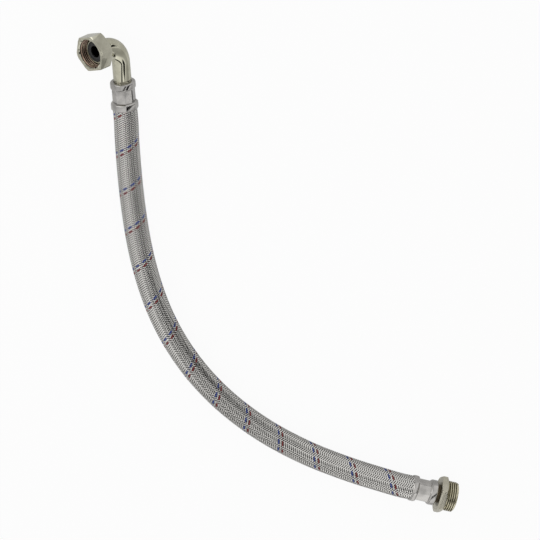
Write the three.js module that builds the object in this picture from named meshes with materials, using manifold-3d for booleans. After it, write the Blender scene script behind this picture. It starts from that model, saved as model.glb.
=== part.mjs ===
// Flexible pump hose: a braided rubber hose with a bent pipe and a union nut at one end
// and a fixed male fitting at the other, lying on the floor as it comes to rest.
// Millimetres, +Z up. The floor is Z = 0, and the bent pipe's leg runs along +Y.
import * as THREE from 'three';
import { mergeVertices } from 'three/addons/utils/BufferGeometryUtils.js';
import Module from 'manifold-3d';

const wasm = await Module();
wasm.setup();

// Driving dimensions
const gap = 0.3;               // between pieces that touch
const boreClearance = 0.35;    // between the nut and what turns in it

const hoseRadius = 13.5;       // outside of the braid
const braidWall = 0.8;
const tubeWall = 2.8;          // rubber tube inside the braid
const hoseSides = 12;
const hoseStep = 20;           // between two rings of the free hose

const ferruleWall = 0.9;
const crimpAcross = 23.4;      // across the flats that the eight jaws leave
const crimpJaws = 8;
const elbowCrimpLength = 15;
const maleCrimpLength = 10.8;
const crimpRun = 2.2;          // slope from a bead down to the flats
const mouthBeadRadius = 14.8;  // hose side
const mouthBeadLength = 7.4;
const mouthBeadRipple = 0.3;   // swell of the bead between two jaws
const endBeadRadius = 14.1;    // fitting side
const endBeadLength = 6.2;
const beadEdge = 0.9;          // rounding of the bead's outer edges
const crimpedBraid = 0.5;      // walls of braid and rubber squeezed under the flats
const crimpedTube = 1.0;

const barbDepth = 0.55;
const barbPitch = 4.4;
const tailWall = 1.5;
const tailSetback = 2.0;       // from the ferrule's mouth to the tip of the tail
const hoseEndDepth = 2.6;      // from the inside of the ferrule's lip to the hose's cut end

const pipeRadius = 10;
const pipeWall = 1.5;
const legStraight = 23;        // from the ferrule to the bend
const bendRadius = 24;
const bendSteps = 10;
const outletTilt = THREE.MathUtils.degToRad(38);   // outlet above the floor
const outletReach = 21.7;      // from the end of the bend to the nut's front face
const collarClearance = 1.65;  // between the collar and the nut's thread
const collarLength = 2.0;      // behind the gasket
const collarRim = 1.5;         // wall of the rim that holds the gasket
const collarFillet = 1.2;

const nutAcross = 38;
const nutLength = 16;
const nutShoulder = 2.7;
const nutThreadRadius = 15.15; // crests of the 1 inch pipe thread
const nutMouthRadius = 17;
const nutMouthDepth = 1.2;
const nutBevelRadius = 20.3;    // where the corners' bevel starts on the end faces
const nutTurn = THREE.MathUtils.degToRad(16);      // a corner off the bend's plane

const gasketWall = 5.0;
const gasketLength = 2.2;
const gasketProud = 0.5;       // in front of the collar's rim

const flangeAcross = 37.5;
const flangeLength = 7.2;
const flangeBevelRadius = 19.2; // where the corners' bevel starts on the end faces
const neckLength = 2.4;
const neckRadius = 10;
const maleThreadRadius = 16.62; // 1 inch pipe thread over its crests
const maleThreadLength = 12.8;
const maleThreadChamfer = 1.2;
const maleBoreRadius = 11;
const maleBoreDepth = 15;
const maleBoreCone = 4;

const turnedSides = 40;

// Centre line of the free hose, from the bent pipe's ferrule to the male fitting's
const elbowHeading = THREE.MathUtils.degToRad(90);
const maleHeading = THREE.MathUtils.degToRad(-21);
const elbowMouth = new THREE.Vector3(-141.5, 209.4, mouthBeadRadius + mouthBeadRipple);
const maleMouth = new THREE.Vector3(136.6, -277.2, flangeAcross / 2);
const straightLead = 14;       // hose that leaves each ferrule straight
const laid = hoseRadius + 0.1; // height of the centre where the hose lies on the floor
const route = [
  [-142.4, 169.4, laid + 0.8],
  [-142.7, 139.4, laid + 0.2],
  [-142.4, 107.9, laid],
  [-141.3, 79.4, laid],
  [-139.2, 50.8, laid],
  [-135.7, 22.5, laid],
  [-130.5, -5.7, laid],
  [-123.4, -33.3, laid],
  [-114, -60.3, laid],
  [-102.3, -86.3, laid],
  [-88.4, -111.1, laid],
  [-72.4, -134.4, laid],
  [-54.5, -156.2, laid],
  [-35.1, -176.2, laid],
  [-14.3, -194.7, laid],
  [7.6, -211.2, laid + 0.3],
  [30.3, -226.1, laid + 1.1],
  [53.8, -239.3, laid + 2.1],
  [77.9, -251.5, laid + 3.4],
  [102.4, -262.8, laid + 4.4],
];

// Sizes that follow
const crimpInside = crimpAcross / 2 - ferruleWall;
const crimpStart = mouthBeadLength + crimpRun;
const braid = {
  outer: hoseRadius,
  inner: hoseRadius - braidWall,
  outerCrimped: crimpInside - gap,
  innerCrimped: crimpInside - gap - crimpedBraid,
};
const tube = {
  outer: braid.inner - gap,
  inner: braid.inner - gap - tubeWall,
  outerCrimped: braid.innerCrimped - gap,
  innerCrimped: braid.innerCrimped - gap - crimpedTube,
};
const tailRadius = tube.innerCrimped * Math.cos(Math.PI / hoseSides) - gap;
const tailBore = tailRadius - barbDepth - tailWall + barbDepth / 2;
const nutHole = pipeRadius + boreClearance;
const elbowCrimp = crimpPlaces(elbowCrimpLength);
const maleCrimp = crimpPlaces(maleCrimpLength);
const collarRadius = nutThreadRadius - collarClearance;
const collarBack = nutLength - nutShoulder - gap;
const collarFront = collarBack - collarLength;
const gasketFront = collarFront - gap - gasketLength;
const collarRimFront = gasketFront + gasketProud;
const gasketRadius = collarRadius - collarRim - gap;

// Depths into a ferrule, counted from its mouth, for the length that its jaws press.
function crimpPlaces(crimpLength) {
  const crimpEnd = crimpStart + crimpLength;
  const lip = crimpEnd + crimpRun + endBeadLength;
  const hoseEnd = lip - ferruleWall - hoseEndDepth;
  return { crimpEnd, lip, hoseEnd, tailEnd: hoseEnd + gap };
}

// Geometry helpers

function headingVector(angle) {
  return new THREE.Vector3(Math.cos(angle), Math.sin(angle), 0);
}

// One closed skin through a row of rings of equal count, which comes back to its first ring.
function closedLoft(rings) {
  const count = rings[0].length;
  const positions = rings.flat().flatMap((point) => point.toArray());
  const indices = [];
  for (let i = 0; i < rings.length; i += 1) {
    const next = (i + 1) % rings.length;
    for (let j = 0; j < count; j += 1) {
      const turn = (j + 1) % count;
      const a = i * count + j;
      const b = next * count + j;
      const c = next * count + turn;
      const d = i * count + turn;
      indices.push(a, d, b, b, d, c);
    }
  }
  const geometry = new THREE.BufferGeometry();
  geometry.setAttribute('position', new THREE.Float32BufferAttribute(positions, 3));
  geometry.setIndex(indices);
  geometry.computeVertexNormals();
  return geometry;
}

// A ring of points about a centre, square to its direction; radiusAt gives the radius at each
// angle, counted from the reference direction.
function ring(centre, along, reference, sides, radiusAt) {
  const side = new THREE.Vector3().crossVectors(along, reference).normalize();
  const up = new THREE.Vector3().crossVectors(side, along).normalize();
  return Array.from({ length: sides }, (_, k) => {
    const angle = (2 * Math.PI * k) / sides;
    const radius = radiusAt(angle);
    return centre.clone()
      .addScaledVector(up, radius * Math.cos(angle))
      .addScaledVector(side, radius * Math.sin(angle));
  });
}

function solidOf(geometry) {
  const bare = geometry.clone();
  bare.deleteAttribute('normal');
  bare.deleteAttribute('uv');
  const merged = mergeVertices(bare, 1e-4);
  return new wasm.Manifold(new wasm.Mesh({
    numProp: 3,
    vertProperties: new Float32Array(merged.attributes.position.array),
    triVerts: new Uint32Array(merged.index.array),
  }));
}

function geometryOf(solid) {
  const mesh = solid.getMesh();
  const geometry = new THREE.BufferGeometry();
  geometry.setAttribute('position', new THREE.BufferAttribute(mesh.vertProperties, 3));
  geometry.setIndex(new THREE.BufferAttribute(mesh.triVerts, 1));
  return geometry;
}

// A turned piece about local Y from [radius, height] points, listed with rising height on the
// outside; a piece with a bore comes back down the bore to its first point.
function turned(points) {
  return new THREE.LatheGeometry(points.map(([r, y]) => new THREE.Vector2(r, y)), turnedSides);
}

// A hexagonal bar about local Y whose corners are bevelled at both ends.
function hexBar(across, start, length, bevelRadius) {
  const corner = across / Math.sqrt(3);
  const bar = new THREE.CylinderGeometry(corner, corner, length, 6);
  bar.translate(0, start + length / 2, 0);
  const reach = corner + 1;
  const fall = (reach - bevelRadius) * Math.tan(Math.PI / 6);
  const bevel = turned([
    [0, start],
    [bevelRadius, start],
    [reach, start + fall],
    [reach, start + length - fall],
    [bevelRadius, start + length],
    [0, start + length],
  ]);
  return solidOf(bar).intersect(solidOf(bevel));
}

// Hose

const elbowAlong = headingVector(elbowHeading);
const maleAlong = headingVector(maleHeading);
const freeHose = new THREE.CatmullRomCurve3([
  elbowMouth,
  elbowMouth.clone().addScaledVector(elbowAlong, -straightLead),
  ...route.map((point) => new THREE.Vector3(...point)),
  maleMouth.clone().addScaledVector(maleAlong, -straightLead),
  maleMouth,
], false, 'centripetal');
const freeLength = freeHose.getLength();

// Centre and direction at a distance along the hose, counted from the bent pipe's ferrule:
// straight inside both ferrules, along the route between them.
function hoseAt(distance) {
  if (distance <= 0) {
    return {
      centre: elbowMouth.clone().addScaledVector(elbowAlong, -distance),
      along: elbowAlong.clone().negate(),
    };
  }
  if (distance >= freeLength) {
    return {
      centre: maleMouth.clone().addScaledVector(maleAlong, distance - freeLength),
      along: maleAlong.clone(),
    };
  }
  return {
    centre: freeHose.getPointAt(distance / freeLength),
    along: freeHose.getTangentAt(distance / freeLength),
  };
}

// Depths into a ferrule at which the hose changes size, and whether it is crimped there.
function squeezed(places) {
  return [[places.hoseEnd, true], [crimpStart, true], [mouthBeadLength, false]];
}

// One wall of the hose, from its end under one ferrule to its end under the other.
function hoseLayer(layer) {
  const stations = squeezed(elbowCrimp).map(([depth, crimped]) => [-depth, crimped]);
  const steps = Math.ceil(freeLength / hoseStep);
  for (let i = 0; i <= steps; i += 1) {
    stations.push([(freeLength * i) / steps, false]);
  }
  squeezed(maleCrimp).toReversed().forEach(([depth, crimped]) => {
    stations.push([freeLength + depth, crimped]);
  });
  const upright = new THREE.Vector3(0, 0, 1);
  const skin = (size, sizeCrimped) => stations.map(([distance, crimped]) => {
    const { centre, along } = hoseAt(distance);
    return ring(centre, along, upright, hoseSides, () => (crimped ? sizeCrimped : size));
  });
  const outside = skin(layer.outer, layer.outerCrimped);
  const inside = skin(layer.inner, layer.innerCrimped);
  return closedLoft([...outside, ...inside.toReversed()]);
}

// Ferrule about local Y, from its mouth at 0 to its lip: two beads with eight jaw flats
// pressed in between. The mouth's bead swells between the jaws, and the lip closes on the stem.

function swell(angle) {
  return mouthBeadRadius + (mouthBeadRipple * (1 + Math.cos(crimpJaws * angle))) / 2;
}

function jawFlat(apothem, angle) {
  const pitch = (2 * Math.PI) / crimpJaws;
  const offFlat = ((angle % pitch) + pitch) % pitch - pitch / 2;
  return apothem / Math.cos(offFlat);
}

function ferrule({ crimpEnd, lip }, stemRadius) {
  const lipRadius = stemRadius + gap;
  const axis = new THREE.Vector3(0, 1, 0);
  const reference = new THREE.Vector3(0, 0, 1);
  const ringAt = (y, radiusAt) => (
    ring(new THREE.Vector3(0, y, 0), axis, reference, turnedSides, radiusAt)
  );
  const swollen = (y, inset) => ringAt(y, (angle) => swell(angle) - inset);
  const pressed = (y, apothem) => ringAt(y, (angle) => jawFlat(apothem, angle));
  const round = (y, radius) => ringAt(y, () => radius);
  const beadStart = lip - endBeadLength;
  const outside = [
    swollen(0, beadEdge / 2),
    swollen(beadEdge / 2, 0),
    swollen(mouthBeadLength - beadEdge, 0),
    swollen(mouthBeadLength, beadEdge / 2),
    pressed(crimpStart, crimpAcross / 2),
    pressed(crimpEnd, crimpAcross / 2),
    round(beadStart, endBeadRadius - beadEdge / 2),
    round(beadStart + beadEdge, endBeadRadius),
    round(lip - beadEdge, endBeadRadius),
    round(lip - beadEdge / 3, endBeadRadius - beadEdge / 3),
    round(lip, endBeadRadius - beadEdge),
  ];
  const inside = [
    round(lip, lipRadius),
    round(lip - ferruleWall, lipRadius),
    round(lip - ferruleWall, endBeadRadius - ferruleWall),
    round(beadStart, endBeadRadius - ferruleWall),
    pressed(crimpEnd, crimpInside),
    pressed(crimpStart, crimpInside),
    round(mouthBeadLength, mouthBeadRadius - ferruleWall),
    round(0, mouthBeadRadius - ferruleWall),
  ];
  return closedLoft([...outside, ...inside]);
}

// Barbed tail's outline about local Y, from its tip to where it meets what carries it.
function barbs({ tailEnd }) {
  const root = tailRadius - barbDepth;
  const count = Math.floor((tailEnd - tailSetback) / barbPitch);
  const outline = [[root, tailSetback]];
  for (let i = 0; i < count; i += 1) {
    const foot = tailSetback + i * barbPitch;
    outline.push([tailRadius, foot + barbPitch * 0.8], [root, foot + barbPitch * 0.85]);
  }
  outline.push([root, tailEnd]);
  return outline;
}

// Bent pipe in its ferrule's frame: the barbed tail and the leg run along local Y, the bend
// turns in the plane of Y and the outlet, and the collar ends the outlet with a rim for the gasket.
const outlet = new THREE.Vector3(-Math.cos(outletTilt), 0, Math.sin(outletTilt));
const bendStart = elbowCrimp.lip + legStraight;
const outletStart = bendStart + (bendRadius * Math.PI) / 2;
const corner = new THREE.Vector3(0, bendStart + bendRadius, 0);
const nutFront = corner.clone().addScaledVector(outlet, bendRadius + outletReach);

function pipeAt(distance) {
  const leg = new THREE.Vector3(0, 1, 0);
  if (distance <= bendStart) return { centre: new THREE.Vector3(0, distance, 0), along: leg };
  const turn = Math.min((distance - bendStart) / bendRadius, Math.PI / 2);
  const beyond = Math.max(distance - outletStart, 0);
  const centre = new THREE.Vector3(0, bendStart, 0)
    .addScaledVector(leg, bendRadius * Math.sin(turn))
    .addScaledVector(outlet, bendRadius * (1 - Math.cos(turn)) + beyond);
  const along = leg.clone().multiplyScalar(Math.cos(turn)).addScaledVector(outlet, Math.sin(turn));
  return { centre, along };
}

function bentPipe() {
  const collarTop = outletStart + outletReach - collarFront;
  const collarBase = collarTop - collarLength;
  const rimTop = outletStart + outletReach - collarRimFront;
  const rimInside = collarRadius - collarRim;
  const bend = Array.from({ length: bendSteps + 1 }, (_, i) => (
    bendStart + ((outletStart - bendStart) * i) / bendSteps
  ));
  const outline = [
    ...barbs(elbowCrimp),
    [pipeRadius, elbowCrimp.tailEnd],
    ...bend.map((distance) => [pipeRadius, distance]),
    [pipeRadius, collarBase - collarFillet],
    [pipeRadius + collarFillet / 8, collarBase],
    [collarRadius, collarBase],
    [collarRadius, rimTop],
    [rimInside, rimTop],
    [rimInside, collarTop],
  ];
  const bore = pipeRadius - pipeWall;
  const boreLine = [
    [bore, collarTop],
    ...bend.toReversed().map((distance) => [bore, distance]),
    [bore, elbowCrimp.lip],
    [tailBore, elbowCrimp.lip - (bore - tailBore) * 2],
    [tailBore, tailSetback],
  ];
  const flat = new THREE.Vector3().crossVectors(new THREE.Vector3(0, 1, 0), outlet);
  const rings = [...outline, ...boreLine].map(([radius, distance]) => {
    const { centre, along } = pipeAt(distance);
    return ring(centre, along, flat, turnedSides, () => radius);
  });
  return closedLoft(rings);
}

// Union nut about local Y, from its back at -nutLength to its front face at 0.
function unionNut() {
  const over = 1;
  const bore = turned([
    [0, -nutLength - over],
    [nutHole, -nutLength - over],
    [nutHole, -nutLength + nutShoulder],
    [nutThreadRadius, -nutLength + nutShoulder],
    [nutThreadRadius, -nutMouthDepth],
    [nutMouthRadius, 0],
    [nutMouthRadius, over],
    [0, over],
  ]);
  return geometryOf(hexBar(nutAcross, -nutLength, nutLength, nutBevelRadius).subtract(solidOf(bore)));
}

function gasket() {
  const inner = gasketRadius - gasketWall;
  const back = -gasketFront - gasketLength;
  return turned([
    [inner, back],
    [gasketRadius, back],
    [gasketRadius, -gasketFront],
    [inner, -gasketFront],
    [inner, back],
  ]);
}

// Male fitting in its ferrule's frame: barbed tail, neck, hexagonal flange and threaded end.
const flangeStart = maleCrimp.lip + neckLength;
const threadStart = flangeStart + flangeLength;
const maleEnd = threadStart + maleThreadLength;

function maleFitting() {
  const over = 1;
  const stem = turned([
    [0, tailSetback],
    ...barbs(maleCrimp),
    [neckRadius, maleCrimp.tailEnd],
    [neckRadius, flangeStart + flangeLength / 2],
    [maleThreadRadius, flangeStart + flangeLength / 2],
    [maleThreadRadius, maleEnd - maleThreadChamfer],
    [maleThreadRadius - maleThreadChamfer, maleEnd],
    [0, maleEnd],
  ]);
  const bore = turned([
    [0, tailSetback - over],
    [tailBore, tailSetback - over],
    [tailBore, maleEnd - maleBoreDepth - maleBoreCone],
    [maleBoreRadius, maleEnd - maleBoreDepth],
    [maleBoreRadius, maleEnd + over],
    [0, maleEnd + over],
  ]);
  const flange = hexBar(flangeAcross, flangeStart, flangeLength, flangeBevelRadius);
  return geometryOf(solidOf(stem).add(flange).subtract(solidOf(bore)));
}

// Assembly

function finish(color, roughness, metalness) {
  return new THREE.MeshStandardMaterial({ color, roughness, metalness });
}

function piece(name, geometry, material) {
  const mesh = new THREE.Mesh(geometry, material);
  mesh.name = name;
  return mesh;
}

const hose = new THREE.Group();
hose.add(
  piece('braid_sleeve', hoseLayer(braid), finish(0xa8a9a8, 0.45, 0.9)),
  piece('inner_tube', hoseLayer(tube), finish(0x1c1c1c, 0.8, 0)),
);

const elbowEnd = new THREE.Group();
elbowEnd.position.copy(elbowMouth);
elbowEnd.rotation.z = elbowHeading - Math.PI / 2;
elbowEnd.add(
  piece('ferrule_elbow_end', ferrule(elbowCrimp, pipeRadius), finish(0xb4b0ae, 0.3, 1)),
  piece('elbow_pipe', bentPipe(), finish(0xb3b39f, 0.2, 1)),
);

const swivel = new THREE.Group();
swivel.position.copy(nutFront);
swivel.rotation.set(0, outletTilt, Math.PI / 2, 'YXZ');
const unionNutPiece = piece('union_nut', unionNut(), finish(0xb1b09c, 0.25, 1));
unionNutPiece.rotation.y = nutTurn;
swivel.add(unionNutPiece, piece('gasket', gasket(), finish(0x151515, 0.7, 0)));
elbowEnd.add(swivel);

const maleEndGroup = new THREE.Group();
maleEndGroup.position.copy(maleMouth);
maleEndGroup.rotation.z = maleHeading - Math.PI / 2;
const maleFittingPiece = piece('male_fitting', maleFitting(), finish(0xaba38c, 0.35, 1));
maleFittingPiece.rotation.y = Math.PI / 6;
maleEndGroup.add(
  piece('ferrule_male_end', ferrule(maleCrimp, neckRadius), finish(0xb4b0ae, 0.3, 1)),
  maleFittingPiece,
);

const pumpHose = new THREE.Group();
pumpHose.add(hose, elbowEnd, maleEndGroup);

export default pumpHose;
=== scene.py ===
# %% [markdown]
# # A braided pump hose, from its frame to a finished picture
# The object is a flexible hose for a water pump. A rubber tube lies inside a sleeve of woven
# stainless wire. A ferrule is pressed round each end. One end carries a bent pipe with a big
# union nut, the other a fitting with a thread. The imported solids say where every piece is.
# This script gives each piece its fine shape and its finish.

# %% Load the frame
import math

import bpy
import numpy as np
from mathutils import Matrix, Vector


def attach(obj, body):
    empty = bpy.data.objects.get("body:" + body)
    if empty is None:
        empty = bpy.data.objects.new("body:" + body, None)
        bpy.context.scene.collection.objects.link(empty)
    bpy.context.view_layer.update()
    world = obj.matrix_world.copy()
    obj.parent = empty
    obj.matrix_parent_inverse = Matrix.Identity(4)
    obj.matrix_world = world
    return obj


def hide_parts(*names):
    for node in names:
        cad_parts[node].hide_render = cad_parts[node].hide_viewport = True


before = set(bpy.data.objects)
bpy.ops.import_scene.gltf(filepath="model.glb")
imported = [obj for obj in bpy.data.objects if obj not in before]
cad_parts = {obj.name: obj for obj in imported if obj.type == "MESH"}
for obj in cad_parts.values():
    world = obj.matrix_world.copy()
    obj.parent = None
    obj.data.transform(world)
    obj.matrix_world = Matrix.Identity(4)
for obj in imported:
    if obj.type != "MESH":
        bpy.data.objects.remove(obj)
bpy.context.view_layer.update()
scene = bpy.context.scene
print("nodes in the frame:", sorted(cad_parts))

# %% [markdown]
# ## The camera
# The photograph was taken from far off with a long lens, almost straight from above, and it is
# turned so that the bent pipe is at the top left. Three directions say this exactly: what is to
# the right, what is up and what points back at the camera. A far camera with a long lens keeps
# parallel edges almost parallel, as in the photograph.

# %% Camera
MM = 0.001
SEEN_WIDTH = 594 * MM
CAMERA_DISTANCE = 26.0
SENSOR_WIDTH = 36.0
picture_right = Vector((0.98959, -0.07940, 0.12000)).normalized()
picture_up = Vector((0.11874, 0.92164, -0.36942)).normalized()
to_camera = picture_right.cross(picture_up)
looked_at = Vector((3.4, -7.1, 0)) * MM

camera_data = bpy.data.cameras.new("photo_camera")
camera_data.sensor_width = SENSOR_WIDTH
camera_data.lens = SENSOR_WIDTH * CAMERA_DISTANCE / SEEN_WIDTH
camera = bpy.data.objects.new("photo_camera", camera_data)
scene.collection.objects.link(camera)
turned_axes = Matrix((picture_right, picture_up, to_camera)).transposed().to_4x4()
camera.matrix_world = Matrix.Translation(looked_at + to_camera * CAMERA_DISTANCE) @ turned_axes
scene.camera = camera
print("lens", round(camera_data.lens), "mm")

# %% [markdown]
# ## The hose's route
# A cord starts with its centre line. The points are those of the solid hose: straight out of
# each ferrule, then one easy bend over the floor. A centripetal curve through the points has no
# overshoot, which is how a stiff hose lies.

# %% Route
HOSE_RADIUS = 13.5 * MM
LAID = HOSE_RADIUS + 0.1 * MM
STRAIGHT_LEAD = 14 * MM
CURVE_STEPS = 24
ELBOW_AXIS = Vector((0, 1, 0))
MALE_HEADING = math.radians(-21)
MALE_AXIS = Vector((math.cos(MALE_HEADING), math.sin(MALE_HEADING), 0))
ELBOW_MOUTH = Vector((-141.5, 209.4, 15.1)) * MM
MALE_MOUTH = Vector((136.6, -277.2, 18.75)) * MM
ROUTE = [
    (-142.4, 169.4, 0.8),
    (-142.7, 139.4, 0.2),
    (-142.4, 107.9, 0),
    (-141.3, 79.4, 0),
    (-139.2, 50.8, 0),
    (-135.7, 22.5, 0),
    (-130.5, -5.7, 0),
    (-123.4, -33.3, 0),
    (-114, -60.3, 0),
    (-102.3, -86.3, 0),
    (-88.4, -111.1, 0),
    (-72.4, -134.4, 0),
    (-54.5, -156.2, 0),
    (-35.1, -176.2, 0),
    (-14.3, -194.7, 0),
    (7.6, -211.2, 0.3),
    (30.3, -226.1, 1.1),
    (53.8, -239.3, 2.1),
    (77.9, -251.5, 3.4),
    (102.4, -262.8, 4.4),
]


def curve_through(points, steps):
    """Points on a centripetal curve that passes through the given points."""
    ends = [2 * points[0] - points[1], *points, 2 * points[-1] - points[-2]]
    line = []
    for a, b, c, d in zip(ends, ends[1:], ends[2:], ends[3:]):
        first = math.sqrt((b - a).length)
        second = first + math.sqrt((c - b).length)
        third = second + math.sqrt((d - c).length)
        for step in range(steps):
            at = first + (second - first) * step / steps
            ab = a.lerp(b, at / first)
            bc = b.lerp(c, (at - first) / (second - first))
            cd = c.lerp(d, (at - second) / (third - second))
            abc = ab.lerp(bc, at / second)
            bcd = bc.lerp(cd, (at - first) / (third - first))
            line.append(abc.lerp(bcd, (at - first) / (second - first)))
    return [*line, points[-1]]


route_points = [
    ELBOW_MOUTH,
    ELBOW_MOUTH - ELBOW_AXIS * STRAIGHT_LEAD,
    *[Vector((x * MM, y * MM, LAID + lift * MM)) for x, y, lift in ROUTE],
    MALE_MOUTH - MALE_AXIS * STRAIGHT_LEAD,
    MALE_MOUTH,
]
free_line = np.array(curve_through(route_points, CURVE_STEPS))
free_along = np.concatenate([[0], np.cumsum(np.linalg.norm(np.diff(free_line, axis=0), axis=1))])
FREE_LENGTH = float(free_along[-1])
print("free hose", round(FREE_LENGTH / MM), "mm")


# %% [markdown]
# Everything on the hose is placed by two numbers: how far along the hose, and at which angle
# round it. The angle is counted from straight up, in the sense in which a right-handed screw
# turns. Inside the ferrules the hose runs on straight.

# %% Places on the hose
SLOPE_REACH = 1 * MM


def hose_places(distance):
    """Centres, directions, and the two directions across, at distances along the hose."""

    def on_line(place):
        """Points on the free hose's centre line."""
        place = np.clip(place, 0, FREE_LENGTH)
        return np.stack([np.interp(place, free_along, free_line[:, k]) for k in range(3)], axis=-1)

    inside = np.clip(distance, 0, FREE_LENGTH)
    centre = on_line(inside)
    along = on_line(inside + SLOPE_REACH) - on_line(inside - SLOPE_REACH)
    along /= np.linalg.norm(along, axis=-1, keepdims=True)
    centre += along * (distance - inside)[..., None]
    across = np.cross(along, [0, 0, 1])
    across /= np.linalg.norm(across, axis=-1, keepdims=True)
    upward = np.cross(across, along)
    return centre, along, upward, across


def new_mesh_piece(name, points, faces):
    """A smooth-shaded mesh object from worked-out points and faces."""
    mesh = bpy.data.meshes.new(name)
    mesh.from_pydata(np.asarray(points).reshape(-1, 3).tolist(), [], faces)
    mesh.validate()
    made = bpy.data.objects.new(name, mesh)
    scene.collection.objects.link(made)
    made.data.shade_smooth()
    return made


def select_only(piece):
    """Makes the piece the only selected object."""
    bpy.ops.object.select_all(action="DESELECT")
    bpy.context.view_layer.objects.active = piece
    piece.select_set(True)


def start_edit(piece):
    """Opens the piece in edit mode with everything selected."""
    select_only(piece)
    bpy.ops.object.mode_set(mode="EDIT")
    bpy.ops.mesh.select_all(action="SELECT")


def face_outwards():
    """Turns the faces of the open piece outwards and leaves edit mode."""
    bpy.ops.mesh.select_all(action="SELECT")
    bpy.ops.mesh.normals_make_consistent(inside=False)
    bpy.ops.object.mode_set(mode="OBJECT")


def band_faces(rings, sides, closed_ends):
    """Faces that join rings of equal count, with a face over each end where asked."""
    faces = []
    for ring in range(rings - 1):
        for side in range(sides):
            here = ring * sides + side
            beside = ring * sides + (side + 1) % sides
            faces.append((here, beside, beside + sides, here + sides))
    if closed_ends:
        faces.append(tuple(reversed(range(sides))))
        faces.append(tuple(range((rings - 1) * sides, rings * sides)))
    return faces


# %% [markdown]
# ## The rubber tube
# Under the braid lies a black rubber tube. It shows only as the dark in the gaps of the weave,
# but it is a whole tube with its bore.

# %% Rubber tube
TUBE_OUTSIDE = 12.45 * MM
TUBE_BORE = 9.6 * MM
TUBE_SQUEEZED = 9.7 * MM
TUBE_BORE_SQUEEZED = 8.7 * MM
ELBOW_HOSE_END = 29.5 * MM
MALE_HOSE_END = 25.3 * MM
CRIMP_RUN = 2.2 * MM
ELBOW_BEAD_LENGTH = 7.4 * MM
MALE_BEAD_LENGTH = 4.6 * MM
TUBE_SIDES = 36
TUBE_STATIONS = 160
MERGE_DISTANCE = 0.01 * MM


def tube_stations():
    """Distances along the hose and how far the tube is squeezed at each, from 0 to 1."""
    under = [(-ELBOW_HOSE_END, 1), (-ELBOW_BEAD_LENGTH - CRIMP_RUN, 1), (-ELBOW_BEAD_LENGTH, 0)]
    free = [(distance, 0) for distance in np.linspace(0, FREE_LENGTH, TUBE_STATIONS)]
    over = [(MALE_BEAD_LENGTH, 0), (MALE_BEAD_LENGTH + CRIMP_RUN, 1), (MALE_HOSE_END, 1)]
    return [*under, *free, *[(FREE_LENGTH + depth, squeeze) for depth, squeeze in over]]


def rubber_tube():
    """The tube's outside and bore as one closed skin, returned with its centre line."""
    distances, squeeze = np.array(tube_stations()).T
    centre, _, upward, across = hose_places(distances)
    angles = np.linspace(0, 2 * np.pi, TUBE_SIDES, endpoint=False)
    spoke = (
        upward[:, None] * np.cos(angles)[None, :, None]
        + across[:, None] * np.sin(angles)[None, :, None]
    )
    outside = TUBE_OUTSIDE + (TUBE_SQUEEZED - TUBE_OUTSIDE) * squeeze
    bore = TUBE_BORE + (TUBE_BORE_SQUEEZED - TUBE_BORE) * squeeze
    outer = centre[:, None] + spoke * outside[:, None, None]
    inner = (centre[:, None] + spoke * bore[:, None, None])[::-1]
    points = np.concatenate([outer, inner, outer[:1]])
    piece = new_mesh_piece("rubber_tube", points, band_faces(len(points), TUBE_SIDES, False))
    start_edit(piece)
    bpy.ops.mesh.remove_doubles(threshold=MERGE_DISTANCE)
    face_outwards()
    return piece, centre


tube, outer_stations = rubber_tube()
print("rubber tube:", len(tube.data.polygons), "faces")

# %% [markdown]
# ## The braid
# The sleeve is woven from 36 flat strands of fine wire. Half of them wind one way and half the
# other, and each goes over two and under two. So a strand's height depends only on the angle
# round the hose: where the right-handed strands are on top, the left-handed ones are below. Each
# strand is a ribbon with a crowned top, swept along its helix.
#
# A braid is far too fine to be made strand by strand in edit mode, so its points are worked out.
# The ribbon's texture coordinates run across and along the strand, for its wires to follow.

# %% Braid sizes
LEAD = 45.9 * MM
STRANDS_EACH_WAY = 18
MIDDLE_RADIUS = 13.0 * MM
WEAVE_HEIGHT = 0.25 * MM
WEAVE_FLATNESS = 1.6
STRAND_WIDTH = 1.86 * MM
STEPS_ROUND = 72
FLOATS_ROUND = 9
COLUMN_TURN = math.radians(-37)
WEAVE_REACH = 3.4 * MM
FIRST_BLUE_CROSSING = 40.8 * MM
VIEW_ANGLE_THERE = math.radians(5)
SHARP_EDGE = math.radians(30)
strand_section = np.array(
    [(-0.5, -0.2), (-0.35, 0.2), (0.35, 0.2), (0.5, -0.2), (0, -0.25)]
) * [STRAND_WIDTH, MM]
section_coordinate = np.array([0, 0.15, 0.85, 1, 0.5])
blue_turn = VIEW_ANGLE_THERE - 2 * math.pi * FIRST_BLUE_CROSSING / LEAD


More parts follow.
